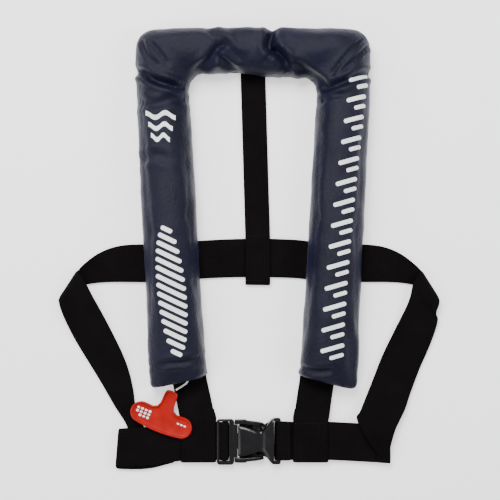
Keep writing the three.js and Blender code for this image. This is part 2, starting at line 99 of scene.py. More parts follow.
def useModifier(obj, kind, **settings):
    modifier = obj.modifiers.new(kind.lower(), kind)
    for key, value in settings.items():
        setattr(modifier, key, value)
    bpy.context.view_layer.objects.active = obj
    for other in bpy.context.selected_objects:
        other.select_set(False)
    obj.select_set(True)
    bpy.ops.object.modifier_apply(modifier=modifier.name)


def catmull(points, steps):
    # points on a smooth curve through the given tuples, with a fixed count of steps between neighbours
    out = []
    last = len(points) - 1
    for i in range(last):
        p = [points[clamp(i + k, 0, last)] for k in (-1, 0, 1, 2)]
        for s in range(steps):
            t = s / steps
            out.append(tuple(0.5 * (2 * b + (c - a) * t + (2 * a - 5 * b + 4 * c - d) * t * t
                                    + (3 * b - a - 3 * c + d) * t ** 3) for a, b, c, d in zip(*p)))
    out.append(tuple(points[-1]))
    return out


# ---- shader groups ----
def newGroup(name, inputs, outputs):
    group = bpy.data.node_groups.new(name, "ShaderNodeTree")
    for label, kind, value in inputs:
        socket = group.interface.new_socket(name=label, in_out="INPUT", socket_type=kind)
        socket.default_value = value
    for label, kind in outputs:
        group.interface.new_socket(name=label, in_out="OUTPUT", socket_type=kind)
    return group, group.nodes.new("NodeGroupInput"), group.nodes.new("NodeGroupOutput")


def mathNode(tree, operation, a, b=None):
    node = tree.nodes.new("ShaderNodeMath")
    node.operation = operation
    for socket, value in zip(node.inputs, (a, b)):
        if hasattr(value, "default_value"):
            tree.links.new(value, socket)
        elif value is not None:
            socket.default_value = value
    return node.outputs[0]


def buildGrain():
    # broken, cloudy variation for tone and roughness, with a fine height for bump
    group, enter, leave = newGroup("surfaceGrain", [("Vector", "NodeSocketVector", (0, 0, 0)),
                                                    ("Cloud Scale", "NodeSocketFloat", 30.0),
                                                    ("Fine Scale", "NodeSocketFloat", 900.0)],
                                   [("Cloud", "NodeSocketFloat"), ("Fine", "NodeSocketFloat")])
    for label, detail in (("Cloud", 4.0), ("Fine", 2.0)):
        node = group.nodes.new("ShaderNodeTexNoise")
        node.inputs["Detail"].default_value = detail
        group.links.new(enter.outputs["Vector"], node.inputs["Vector"])
        group.links.new(enter.outputs[label + " Scale"], node.inputs["Scale"])
        group.links.new(node.outputs["Fac"], leave.inputs[label])
    return group


def buildWeave():
    # plain weave: two crossing sets of threads
    group, enter, leave = newGroup("threadWeave", [("Vector", "NodeSocketVector", (0, 0, 0)),
                                                   ("Thread", "NodeSocketFloat", 0.0011),
                                                   ("Cross Thread", "NodeSocketFloat", 0.0011)],
                                   [("Height", "NodeSocketFloat")])
    split = group.nodes.new("ShaderNodeSeparateXYZ")
    group.links.new(enter.outputs["Vector"], split.inputs[0])
    waves = []
    for axis, pitch in (("X", "Thread"), ("Y", "Cross Thread")):
        turns = mathNode(group, "DIVIDE", split.outputs[axis], enter.outputs[pitch])
        waves.append(mathNode(group, "SINE", mathNode(group, "MULTIPLY", turns, math.pi)))
    crossed = mathNode(group, "MULTIPLY", waves[0], waves[1])
    group.links.new(mathNode(group, "MULTIPLY_ADD", crossed, 0.5), leave.inputs["Height"])
    return group


def buildRib():
    # webbing: ribs side by side across the width, with fine chevrons inside them
    group, enter, leave = newGroup("webbingRib", [("Vector", "NodeSocketVector", (0, 0, 0)),
                                                  ("Rib", "NodeSocketFloat", 0.0021),
                                                  ("Pick", "NodeSocketFloat", 0.0016)],
                                   [("Height", "NodeSocketFloat")])
    split = group.nodes.new("ShaderNodeSeparateXYZ")
    group.links.new(enter.outputs["Vector"], split.inputs[0])
    across = mathNode(group, "DIVIDE", split.outputs["Y"], enter.outputs["Rib"])
    swing = mathNode(group, "SINE", mathNode(group, "MULTIPLY", across, math.pi))
    ribs = mathNode(group, "ABSOLUTE", swing)
    lean = mathNode(group, "MULTIPLY", ribs, 0.8)
    along = mathNode(group, "DIVIDE", split.outputs["X"], enter.outputs["Pick"])
    turns = mathNode(group, "MULTIPLY", mathNode(group, "ADD", along, lean), 2 * math.pi)
    picks = mathNode(group, "SINE", turns)
    height = mathNode(group, "ADD", mathNode(group, "MULTIPLY", ribs, 0.6),
                      mathNode(group, "MULTIPLY", picks, 0.25))
    group.links.new(height, leave.inputs["Height"])
    return group


grainGroup, weaveGroup, ribGroup = buildGrain(), buildWeave(), buildRib()


def addGroup(tree, group, vector, **values):
    node = tree.nodes.new("ShaderNodeGroup")
    node.node_tree = group
    tree.links.new(vector, node.inputs["Vector"])
    for key, value in values.items():
        node.inputs[key.replace("_", " ")].default_value = value
    return node


def startMaterial(name, **constants):
    material = bpy.data.materials.new(name)
    material.use_nodes = True
    shader = material.node_tree.nodes["Principled BSDF"]
    for key, value in constants.items():
        shader.inputs[key.replace("_", " ")].default_value = value
    return material, material.node_tree, shader


def objectSpace(tree):
    return tree.nodes.new("ShaderNodeTexCoord").outputs["Object"]


def toneRamp(tree, mask, dark, light, low=0.3, high=0.7):
    ramp = tree.nodes.new("ShaderNodeValToRGB")
    ramp.color_ramp.elements[0].position = low
    ramp.color_ramp.elements[1].position = high
    ramp.color_ramp.elements[0].color = (*dark, 1)
    ramp.color_ramp.elements[1].color = (*light, 1)
    tree.links.new(mask, ramp.inputs[0])
    return ramp.outputs["Color"]


def mapRange(tree, value, low, high):
    node = tree.nodes.new("ShaderNodeMapRange")
    node.inputs["To Min"].default_value = low
    node.inputs["To Max"].default_value = high
    tree.links.new(value, node.inputs["Value"])
    return node.outputs[0]


def bump(tree, shader, height, distance, before=None):
    node = tree.nodes.new("ShaderNodeBump")
    node.inputs["Strength"].default_value = 1.0
    node.inputs["Distance"].default_value = distance
    tree.links.new(height, node.inputs["Height"])
    if before:
        tree.links.new(before, node.inputs["Normal"])
    tree.links.new(node.outputs[0], shader.inputs["Normal"])
    return node.outputs[0]


def clothMaterial(name, dark, light, thread, roughness, sheen, wrinkle):
    material, tree, shader = startMaterial(name, Sheen_Weight=sheen, Sheen_Roughness=0.45,
                                           Specular_IOR_Level=0.17)
    shader.inputs["Sheen Tint"].default_value = (0.5, 0.52, 1.0, 1)
    space = objectSpace(tree)
    grain = addGroup(tree, grainGroup, space, Cloud_Scale=26.0, Fine_Scale=260.0)
    weave = addGroup(tree, weaveGroup, space, Thread=thread, Cross_Thread=thread)
    tree.links.new(toneRamp(tree, grain.outputs["Cloud"], dark, light), shader.inputs["Base Color"])
    tree.links.new(mapRange(tree, grain.outputs["Cloud"], roughness - 0.07, roughness + 0.09),
                   shader.inputs["Roughness"])
    soft = bump(tree, shader, grain.outputs["Fine"], wrinkle)
    bump(tree, shader, weave.outputs["Height"], 0.00022, before=soft)
    return material


def webMaterial(name, dark, light):
    material, tree, shader = startMaterial(name, Specular_IOR_Level=0.045)
    lie = tree.nodes.new("ShaderNodeAttribute")
    lie.attribute_name = "lie"
    rib = addGroup(tree, ribGroup, lie.outputs["Vector"], Rib=0.0024, Pick=0.0019)
    grain = addGroup(tree, grainGroup, objectSpace(tree), Cloud_Scale=38.0, Fine_Scale=1200.0)
    # base colour: painted highlight on the rib tops and painted shade in the grooves between ribs, taken from the rib
    # height, mixed with random cloudy tone
    shade = mathNode(tree, "ADD", mathNode(tree, "MULTIPLY", rib.outputs["Height"], 0.55),
                     mathNode(tree, "MULTIPLY", grain.outputs["Cloud"], 0.6))
    tree.links.new(toneRamp(tree, shade, dark, light, 0.2, 0.95), shader.inputs["Base Color"])
    tree.links.new(mapRange(tree, grain.outputs["Cloud"], 0.62, 0.8), shader.inputs["Roughness"])
    bump(tree, shader, rib.outputs["Height"], 0.0005)
    return material


def plasticMaterial(name, dark, light, roughness, texture=0.00004, **constants):
    material, tree, shader = startMaterial(name, **constants)
    grain = addGroup(tree, grainGroup, objectSpace(tree), Cloud_Scale=70.0, Fine_Scale=1500.0)
    tree.links.new(toneRamp(tree, grain.outputs["Cloud"], dark, light), shader.inputs["Base Color"])
    tree.links.new(mapRange(tree, grain.outputs["Cloud"], roughness - 0.06, roughness + 0.08),
                   shader.inputs["Roughness"])
    bump(tree, shader, grain.outputs["Fine"], texture)
    return material


materials = {
    "navyNylon": clothMaterial("navyNylon", (0.0022, 0.0022, 0.0092), (0.0048, 0.0048, 0.0175),
                               thread=0.0009, roughness=0.40, sheen=0.05, wrinkle=0.0006),
    "yellowBladder": clothMaterial("yellowBladder", (0.55, 0.46, 0.03), (0.72, 0.60, 0.05),
                                   thread=0.0006, roughness=0.45, sheen=0.1, wrinkle=0.0004),
    "blackWebbing": webMaterial("blackWebbing", (0.0009, 0.0006, 0.0008), (0.0060, 0.0044, 0.0052)),
    "buckleGloss": plasticMaterial("buckleGloss", (0.003, 0.003, 0.0035), (0.006, 0.006, 0.007), 0.2,
                                   Specular_IOR_Level=0.3),
    "redMoulded": plasticMaterial("redMoulded", (0.27, 0.0048, 0.0028), (0.37, 0.0085, 0.0045), 0.34,
                                  Specular_IOR_Level=0.16),
    "innerPlastic": plasticMaterial("innerPlastic", (0.012, 0.013, 0.016), (0.03, 0.03, 0.034), 0.5, 0.00008),
    "innerRubber": plasticMaterial("innerRubber", (0.008, 0.008, 0.008), (0.02, 0.02, 0.02), 0.7, 0.0001),
    "platedSteel": plasticMaterial("platedSteel", (0.45, 0.46, 0.48), (0.62, 0.63, 0.65), 0.3, 0.00003,
                                   Metallic=1.0),
    "whiteCord": plasticMaterial("whiteCord", (0.62, 0.62, 0.60), (0.8, 0.8, 0.78), 0.75, 0.0003),
    "whitePrint": plasticMaterial("whitePrint", (0.74, 0.75, 0.77), (0.84, 0.85, 0.86), 0.5, 0.00006),
    "darkThread": plasticMaterial("darkThread", (0.003, 0.0028, 0.003), (0.012, 0.011, 0.012), 0.7, 0.0002,
                                  Specular_IOR_Level=0.1),
}


def finish(obj, material, body):
    obj.data.materials.clear()
    obj.data.materials.append(materials[material])
    if body:
        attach(obj, body)


# ---- pull cord ----
axisZ = (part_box("inflator_lever")[0][2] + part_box("inflator_lever")[1][2]) / 2 / mm
cordValues = {"diameter": 2.4,
              "route": [(-66.7, -135, axisZ), (-67.6, -139, axisZ - 1.5), (-69.5, -144, axisZ - 5.5),
                        (-71.5, -149.5, axisZ - 10), (-73.8, -155, 12.6), (-76, -160.5, 11.6), (-78.3, -166, 11.2),
                        (-80.6, -171, 11), (-85.5, -175, 11.6), (-91, -178.3, 12.4), (-94.6, -180.6, 12.8)]}


def makeCord():
    points = catmull([tuple(c * mm for c in p) for p in cordValues["route"]], 3)
    data = bpy.data.curves.new("pull_line", "CURVE")
    data.dimensions = "3D"
    data.bevel_depth = cordValues["diameter"] * mm / 2
    data.bevel_resolution = 4
    data.use_fill_caps = True
    spline = data.splines.new("POLY")
    spline.points.add(len(points) - 1)
    for point, place in zip(spline.points, points):
        point.co = (*place, 1)
    cord = bpy.data.objects.new("pull_line", data)
    bpy.context.collection.objects.link(cord)
    finish(cord, "whiteCord", "pull_tab")
    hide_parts("pull_cord")


makeCord()


# ---- padded cover: one horseshoe of cloth over both lobes and the collar ----
coverValues = {"centreX": 5, "spreadTop": 233, "spreadEnd": 193, "widthTop": 74, "widthEnd": 79, "shoulderY": 204,
               "endY": -171, "endSlant": 9, "topY": 286.5, "neckY": 224, "outerRadius": 26, "innerRadius": 17,
               "lobeHeight": 44, "collarHeight": 48.5, "startInset": 2.5, "voxel": 5.0, "pressure": 4.0,
               "mostSwell": 4.5, "frames": 20, "stretch": 12, "bend": 0.4, "quality": 4}


def coverStations(v):
    def side(sign):
        rows = []
        for i in range(15):
            t = 1 - i / 14
            mid = v["centreX"] + sign * lerp(v["spreadTop"], v["spreadEnd"], t) / 2
            half = lerp(v["widthTop"], v["widthEnd"], t) / 2
            y = lerp(v["shoulderY"], v["endY"], t)
            slant = v["endSlant"] * t ** 6
            fall = lerp(1, 0.7, clamp((t - 0.9) / 0.1) ** 2)
            rows.append(((mid + sign * half, y - slant), (mid - sign * half, y + slant), v["lobeHeight"] * fall))
        halfTop = v["spreadTop"] / 2

        def corner(reach, top, radius):
            points = [(reach, lerp(v["shoulderY"], top - radius, 0.6))]
            points += [(reach - radius + radius * math.cos(a), top - radius + radius * math.sin(a))
                       for a in (k * math.pi / 12 for k in range(7))]
            points += [((reach - radius) * share, top) for share in (0.75, 0.5, 0.25)]
            return [(v["centreX"] + sign * x, y) for x, y in points]

        outer = corner(halfTop + v["widthTop"] / 2, v["topY"], v["outerRadius"])
        inner = corner(halfTop - v["widthTop"] / 2, v["neckY"] - 3 * sign, v["innerRadius"])
        for i, (o, n) in enumerate(zip(outer, inner)):
            rows.append((o, n, lerp(v["lobeHeight"], v["collarHeight"], clamp(i / 7))))
        return rows

    left, right = side(-1), side(1)
    middle = ((v["centreX"], v["topY"]), (v["centreX"], v["neckY"]), v["collarHeight"])
    return left + [middle] + right[::-1]


def loftDome(name, stations, inset, base, fullness=0.62, across=22):
    verts, faces = [], []
    for (ox, oy), (ix, iy), height in stations:
        width = math.hypot(ix - ox, iy - oy)
        ux, uy = (ix - ox) / width, (iy - oy) / width
        for k in range(across + 1):
            a = math.pi * k / across
            s = inset + (width - 2 * inset) * (1 - math.cos(a)) / 2
            z = base + (height - inset) * max(math.sin(a), 0) ** fullness
            verts.append(((ox + ux * s) * mm, (oy + uy * s) * mm, z * mm))
        for k in range(1, across):
            a = math.pi * (1 - k / across)
            s = inset + (width - 2 * inset) * (1 - math.cos(a)) / 2
            verts.append(((ox + ux * s) * mm, (oy + uy * s) * mm, base * mm))
    ring = 2 * across
    for r in range(len(stations) - 1):
        for k in range(ring):
            n = (k + 1) % ring
            faces.append((r * ring + k, r * ring + n, (r + 1) * ring + n, (r + 1) * ring + k))
    faces.append(tuple(range(ring)))
    faces.append(tuple(range((len(stations) - 1) * ring, len(stations) * ring)))
    return meshObject(name, verts, faces)


def puffUp(obj, v):
    # cloth under a little pressure, with how far it may swell held back
    settings = obj.modifiers.new("cloth", "CLOTH")
    cloth = settings.settings
    cloth.use_pressure = True
    cloth.uniform_pressure_force = v["pressure"]
    cloth.effector_weights.gravity = 0
    cloth.quality = v["quality"]
    cloth.tension_stiffness = cloth.compression_stiffness = v["stretch"]
    cloth.bending_stiffness = v["bend"]
    before = [(p.co.copy(), p.normal.copy()) for p in obj.data.vertices]
    scene = bpy.context.scene
    settings.point_cache.frame_start = 1
    settings.point_cache.frame_end = v["frames"]
    for number in range(1, v["frames"] + 1):
        scene.frame_set(number)
    moved = obj.evaluated_get(bpy.context.evaluated_depsgraph_get()).to_mesh()
    after = [p.co.copy() for p in moved.vertices]
    obj.modifiers.remove(settings)
    scene.frame_set(1)
    most = v["mostSwell"] * mm
    for vertex, (a, normal), b in zip(obj.data.vertices, before, after):
        step = b - a
        step -= normal * min(0, step.dot(normal))      # what the cover holds keeps it from sinking in
        if step.length > most:
            step *= most / step.length
        vertex.co = a + step


# creases: path over the top face, width, depth, height of the ridge beside it
creases = [
    ([(-147, 230), (-134, 224), (-120, 215), (-100, 209), (-78, 204)], 5.5, 8.0, 3.0),
    ([(160, 226), (146, 224), (128, 216), (110, 209), (90, 201)], 5.5, 7.0, 2.5),
    ([(30, 284), (27, 270), (26, 256), (38, 247), (46, 236), (50, 222)], 7.0, 12.0, 3.0),
    ([(18, 236), (30, 250), (36, 262)], 4.0, 4.0, 1.0),
    ([(-30, 262), (-42, 252), (-50, 240), (-68, 228)], 6.0, 6.5, 2.0),
    ([(-40, 245), (-28, 236), (-14, 226)], 5.0, 5.0, 1.5),
    ([(-52, 280), (-38, 266), (-22, 250), (-8, 238)], 7.0, 3.0, 1.5),
    ([(-126, 264), (-114, 250), (-102, 234)], 3.0, 3.0, 1.2),
    ([(-138, 268), (-130, 248), (-116, 234)], 3.5, 3.0, 1.2),
    ([(146, 270), (126, 250), (104, 222)], 3.2, 3.6, 1.5),
    ([(154, 262), (136, 244), (114, 222)], 3.0, 3.2, 1.2),
    ([(52, 240), (68, 230), (88, 216), (98, 206)], 6.0, 6.0, 1.5),
    ([(-146, 190), (-120, 184), (-96, 190), (-74, 193)], 7.0, 3.0, 1.5),
    ([(88, 188), (104, 196), (120, 196)], 5.0, 3.0, 1.0),
    ([(-140, 112), (-118, 120), (-100, 112)], 7.0, 1.8, 1.0),
    ([(-128, -150), (-105, -144), (-82, -142), (-58, -137)], 5.0, 3.2, 1.4),
    ([(64, -150), (84, -155), (108, -152)], 5.0, 3.4, 1.4),
    ([(120, -80), (128, -120), (132, -160)], 6.0, 2.0, 1.2),
]


def pressCreases(obj, lines):
    routes = []
    for path, wide, deep, ridge in lines:
        points = [Vector((x * mm, y * mm)) for x, y in catmull(path, 6)]
        low = Vector((min(p.x for p in points), min(p.y for p in points)))
        high = Vector((max(p.x for p in points), max(p.y for p in points)))
        routes.append((points, low, high, wide * mm, deep * mm, ridge * mm))
    normals = [vertex.normal.copy() for vertex in obj.data.vertices]
    for vertex, normal in zip(obj.data.vertices, normals):
        up = clamp((normal.z + 0.45) / 0.6)
        if up == 0:
            continue
        place = Vector((vertex.co.x, vertex.co.y))
        push = 0.0
        for points, low, high, wide, deep, ridge in routes:
            reach = 3.2 * wide
            if not (low.x - reach < place.x < high.x + reach and low.y - reach < place.y < high.y + reach):
                continue
            best, share = min(((place - p).length, i / (len(points) - 1)) for i, p in enumerate(points))
            if best > reach:
                continue
            fade = 0.25 + 0.75 * smooth(min(share, 1 - share) * 5)
            side = (best - 1.5 * wide) / wide
            push += fade * (ridge * math.exp(-side * side * 2) - deep * math.exp(-(best / wide) ** 2 * 1.6))
        # slow waves of the whole cloth, with smaller ones on them
        soft = noise.noise(vertex.co * 22 + Vector((3.1, 0, 0))) * 1.6 + noise.noise(vertex.co * 55) * 0.8
        vertex.co += normal * (push + soft * mm) * up


def makeCover():
    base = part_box("cover_left_back")[0][2] / mm
    cover = loftDome("horseshoe_cover", coverStations(coverValues), coverValues["startInset"], base)
    useModifier(cover, "REMESH", mode="VOXEL", voxel_size=coverValues["voxel"] * mm, use_smooth_shade=True)
    puffUp(cover, coverValues)
    useModifier(cover, "SUBSURF", levels=1)
    pressCreases(cover, creases)
    floor = (base + 0.1) * mm
    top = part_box("collar_front")[1][2] + 0.004
    for vertex in cover.data.vertices:
        vertex.co.z = clamp(vertex.co.z, floor, top)
    cover.data.shade_smooth()
    finish(cover, "navyNylon", None)
    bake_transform(cover)
    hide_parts("cover_left_front", "cover_left_back", "cover_right_front", "cover_right_back",
                "collar_front", "collar_back")
    print("cover", len(cover.data.vertices))
    return cover


cover = makeCover()
coverTree = BVHTree.FromObject(cover, bpy.context.evaluated_depsgraph_get())


def coverTop(x, y):
    hit = coverTree.ray_cast(Vector((x, y, 0.2)), Vector((0, 0, -1)))[0]
    return hit.z if hit else None


# ---- webbing ----
webShape = {"thick": 1.9, "across": 10, "selvedge": 0.55}


def makeWeb(name, rows, body, replaced, steps, wave=0.35, seed=0.0):
    # rows: (one edge, other edge) down the length of the web, millimetres
    across = webShape["across"]
    flat = catmull([(*a, *b) for a, b in rows], steps)
    rings, lies = [], []
    travelled = 0.0
    for i, row in enumerate(flat):
        a, b = Vector(row[:3]), Vector(row[3:])
        before, after = flat[max(i - 1, 0)], flat[min(i + 1, len(flat) - 1)]
        if i:
            travelled += ((Vector(row[:3]) + Vector(row[3:])) / 2
                          - (Vector(before[:3]) + Vector(before[3:])) / 2).length
        width = (b - a).length
        top, bottom, topLie, bottomLie = [], [], [], []
        for k in range(across + 1):
            s = k / across
            place = a.lerp(b, s)
            tangent = (Vector(after[:3]).lerp(Vector(after[3:]), s)
                       - Vector(before[:3]).lerp(Vector(before[3:]), s))
            normal = tangent.cross(b - a).normalized()
            edge = abs(2 * s - 1)
            ripple = wave * noise.noise(Vector((travelled * 0.035, s * 1.4, seed))) * (0.4 + edge)
            half = webShape["thick"] / 2 * (1 if 0 < k < across else webShape["selvedge"])
            top.append((place + normal * (ripple + half)) * mm)
            bottom.append((place + normal * (ripple - half)) * mm)
            topLie.append((travelled * mm, s * width * mm, edge))
            bottomLie.append((travelled * mm, s * width * mm, edge))
        rings.append(top + bottom[::-1])
        lies.append(topLie + bottomLie[::-1])
    size = len(rings[0])
    verts = [v for ring in rings for v in ring]
    faces = [(r * size + k, r * size + (k + 1) % size, (r + 1) * size + (k + 1) % size, (r + 1) * size + k)
             for r in range(len(rings) - 1) for k in range(size)]
    for start in (0, (len(rings) - 1) * size):
        faces += [(start + k, start + k + 1, start + size - 2 - k, start + size - 1 - k)
                  for k in range(across)]
    obj = meshObject(name, verts, faces)
    lie = obj.data.attributes.new("lie", "FLOAT_VECTOR", "POINT")
    for item, value in zip(lie.data, (v for ring in lies for v in ring)):
        item.vector = value
    useModifier(obj, "SUBSURF", levels=1)
    finish(obj, "blackWebbing", body)
    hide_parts(*replaced)
    return obj


def mirrored(rows):
    return [((-a[0], *a[1:]), (-b[0], *b[1:])) for a, b in rows]


beltY = (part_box("buckle_female")[0][1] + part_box("buckle_female")[1][1]) / 2 / mm
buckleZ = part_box("buckle_female")[1][2] / 2 / mm
webValues = {"keeperX": 11, "backHalf": 16.3, "beltHalf": 25, "loopHalf": 23, "loopLeftX": -65.6,
             "loopRightX": 79.5}

# waist web: up one side, folded over at the corner, across the back, folded again and down the other side
sideFold = [((-100, 8, 3), (-100, -42, 3)), ((-150, 7.5, 3), (-150, -42, 3)), ((-176, 4, 3), (-180, -42, 3)),
            ((-197, -5, 3.5), (-205, -44, 3)), ((-213, -17, 5), (-226, -49, 4)), ((-221, -26, 7.5), (-241, -57, 6)),
            ((-222.5, -27.5, 10.5), (-246, -64, 9)), ((-219, -30, 13), (-245.5, -70, 11.5)),
            ((-212, -40, 12), (-242, -82, 9.5)), ((-202, -60, 8.5), (-234, -101, 6)),
            ((-187, -88, 4.5), (-222, -124, 3.4))]
leftRun = [((-166, -130, 3.4), (-204, -153, 3)), ((-156, -156, 3.2), (-189, -178, 3)),
           ((-150, -182, 4), (-174, -204, 3.2)), ((-146, -208, 3.6), (-160, -226, 3.2)),
           ((-132, -238, 3.2), (-150, -252, 3))]
rightRun = [((206, -66, 8.5), (244.5, -92, 6.5)), ((190, -100, 4.6), (236, -120, 3.6)),
            ((172.5, -136, 4.2), (220.5, -156, 3.4)), ((161.5, -163, 6), (210.5, -182, 5)),
            ((151, -189, 8.5), (202.5, -205, 7.5)), ((143, -208, 10.8), (195.5, -219, 10)),
            ((138.5, -219, 12.4), (188, -235, 11.6)), ((156, -250, 12.6), (182, -258, 12)),
            ((173, -271.5, 12), (181.5, -273, 11.6))]
backBow = [((-62, 12.5, 3), (-62, -37.5, 3)), ((0, 15, 3), (0, -35.5, 3)), ((62, 13.5, 3), (62, -37, 3))]
makeWeb("waist_web", (sideFold + leftRun)[::-1] + backBow + mirrored(sideFold[:9]) + rightRun, root,
        ("back_belt", "side_strap_left", "side_strap_right"), steps=5, wave=0.9)
print("waist web")


def edgeRows(points, half, y):
    # rows of a web that runs along X: points are (x, z), with how far the row moves along Y
    # and how far it is skewed after them, where wanted
    rows = []
    for x, z, *rest in points:
        lean, skew = (rest + [0, 0])[:2]
        rows.append(((x + skew, y + half + lean, z), (x - skew, y - half + lean, z)))
    return rows


half = webValues["beltHalf"]
cornerX = -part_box("belt_corner_left")[0][0] / mm
leftFront = [(-97, 5, -3.6), (-110, 5, -7.0), (-126, 5, -11), (-146, 4.9, -12.6), (-cornerX + 5, 4.6, -12, 1),
             (-cornerX + 2.2, 5.6, -11, 1.6), (-cornerX + 1.4, 7.2, -9.6, 2), (-cornerX + 2.6, 8.6, -8.6, 2),
             (-cornerX + 8, 9.2, -8, 1.6), (-157, 9.2, -7.8, 0.8),
             (-140, 9.1, -7.2), (-120, 8.5, -5), (-100, 7.8, -2.6), (-88, 7.3, -1.2), (-66, 7.2, 0), (-50, 7.2, 0),
             (-44.5, 6.8, 0), (-39.5, 7), (-37.2, 8.6), (-34.6, 10.1), (-32.2, 10.4), (-29.4, 10.1), (-27.2, 8.4),
             (-27.0, 5.9), (-28.6, 4.2), (-32.2, 3.9)]
frontLeft = makeWeb("front_web_left", edgeRows(leftFront, half, beltY), None,
                    ("belt_corner_left", "front_belt_left"), steps=5, wave=0.25, seed=2.0)
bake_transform(frontLeft)

rightFront = [(53.5, 10.3), (46.5, 11.6), (40.5, 12.1), (36.6, 11.6), (34.0, 9.8), (33.2, 7.2), (34.0, 4.6),
              (36.8, 2.8), (41, 2.5), (47, 3.2), (53, 6.6), (58, 7.2), (80, 7.2), (104, 7.3),
              (125, 7.2, -1), (150, 7.2, -2.4), (170, 7.2, -3.4), (179, 7.4, -4), (181.8, 8.4, -4.2),
              (180, 9.5, -4), (165, 9.6, -3)]
makeWeb("front_web_right", edgeRows(rightFront, half, beltY), root, ("front_belt_right", "belt_corner_right"),
        steps=4, wave=0.4, seed=4.0)


def loopRows(topX, lowX):
    # down from under the lobe, over the belt, round its lower edge and back up behind it
    h = webValues["loopHalf"]
    high, low = beltY + half, beltY - half
    path = [(topX, -140, 3), (topX, -160, 3), (lerp(topX, lowX, 0.3), -180, 3.6),
            (lerp(topX, lowX, 0.6), -198, 6), (lerp(topX, lowX, 0.85), high + 7, 8.2), (lowX, high - 1, 9.2),
            (lowX, beltY, 9.2), (lowX, low + 3, 9.2), (lowX, low - 1.2, 8.8), (lowX, low - 2.2, 7.4),
            (lowX, low - 1.2, 5), (lowX, low + 3, 4.4), (lowX, beltY, 4.4), (lowX, high - 2, 4.4),
            (lowX, high + 6, 5), (lerp(topX, lowX, 0.75), -205, 4)]
    return [((x - h, y, z), (x + h, y, z)) for x, y, z in path]


loopLeft = makeWeb("loop_web_left", loopRows(-79, webValues["loopLeftX"]), None,
                   ("loop_left_strap", "loop_left_ring"), steps=4, wave=0.2, seed=6.0)
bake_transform(loopLeft)
makeWeb("loop_web_right", loopRows(89, webValues["loopRightX"]), root,
        ("loop_right_strap", "loop_right_ring"), steps=4, wave=0.2, seed=8.0)


def backRows():
    h, x = webValues["backHalf"], webValues["keeperX"]
    path = [(5, 244, 2), (5, 222, 2.2), (6.5, 170, 2.4), (8.5, 100, 2.2), (10.3, 40, 3.2), (10.9, 14, 5.6),
            (x, 6, 6.2), (x, -17, 6.2), (x, -38, 6), (x, -43.6, 5.2), (x, -44.6, 3.2), (x, -43, 1.6),
            (x, -36, 1.1), (x, -17, 1.1), (x, 4, 1.1), (x - 0.1, 14, 1.2), (x - 0.3, 26, 1.2)]
    return [((a - h, b, c), (a + h, b, c)) for a, b, c in path]


backWeb = makeWeb("back_web", backRows(), None, ("back_strap", "back_strap_keeper"), steps=5, seed=10.0)
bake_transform(backWeb)
print("webbing")


# ---- stitching ----
stitchValues = {"length": 3.2, "pitch": 4.6, "radius": 0.34}


def makeStitches(name, runs):
    # short raised threads along runs of (start, end) points
    length, pitch, radius = (stitchValues[key] for key in ("length", "pitch", "radius"))
    verts, faces = [], []
    for start, end in runs:
        a, b = Vector(start), Vector(end)
        count = max(1, int((b - a).length / pitch))
        way = (b - a).normalized()
        side = way.cross(Vector((0, 0, 1))).normalized()
        for i in range(count):
            middle = a + way * pitch * (i + 0.5)
            base = len(verts)
            for along, lift in ((-0.5, -0.3), (-0.3, 0.6), (0.3, 0.6), (0.5, -0.3)):
                for turn in range(6):
                    angle = turn * math.pi / 3
                    wide = radius * (0.5 if abs(along) > 0.4 else 1)
                    verts.append((middle + way * along * length + side * wide * math.cos(angle)
                                  + Vector((0, 0, lift * radius + wide * math.sin(angle)))) * mm)
            for ring in range(3):
                near = base + ring * 6
                faces += [(near + k, near + (k + 1) % 6, near + 6 + (k + 1) % 6, near + 6 + k) for k in range(6)]
            faces += [tuple(base + k for k in range(6)), tuple(base + 18 + k for k in range(6))]
    finish(meshObject(name, verts, faces), "darkThread", root)


makeStitches("keeper_stitching", [((-2, 18, 7.0), (24, 18, 7.0)), ((-2, -40, 7.3), (24, -40, 7.3))])
makeStitches("belt_end_stitching", [((51, beltY + y0, 11.4), (51, beltY + y0 + 22, 11.4)) for y0 in (-23, 1)])
makeStitches("loop_stitching_right", [((58, beltY + 23, 10.35), (101, beltY + 23, 10.35))])


# ---- buckle ----
buckleValues = {"edge": 1.6, "crown": 0.7, "flare": 2.0, "voxel": 0.8, "bevel": 0.35, "frame": (-42, -19.5),
                "frameHalf": 29.6, "frameShift": -1.2, "frameCorner": 4, "frameZ": 3, "slotHalf": 25.6,
                "tongueHalf": 10, "shoulderHalf": 21.2, "armZ": 4}


def inset(outline, distance):
    count = len(outline)
    area = sum(outline[i][0] * outline[(i + 1) % count][1] - outline[(i + 1) % count][0] * outline[i][1]
               for i in range(count))
    sign = 1 if area > 0 else -1
    out = []
    for i in range(count):
        p, a, b = Vector(outline[i]), Vector(outline[i - 1]), Vector(outline[(i + 1) % count])
        d1, d2 = (p - a).normalized(), (b - p).normalized()
        n = Vector((-(d1.y + d2.y), d1.x + d2.x)) * sign
        n.normalize()
        stretch = 1 / max(0.5, n.dot(Vector((-d1.y, d1.x)) * sign))
        out.append(tuple(p + n * distance * stretch))
    return out


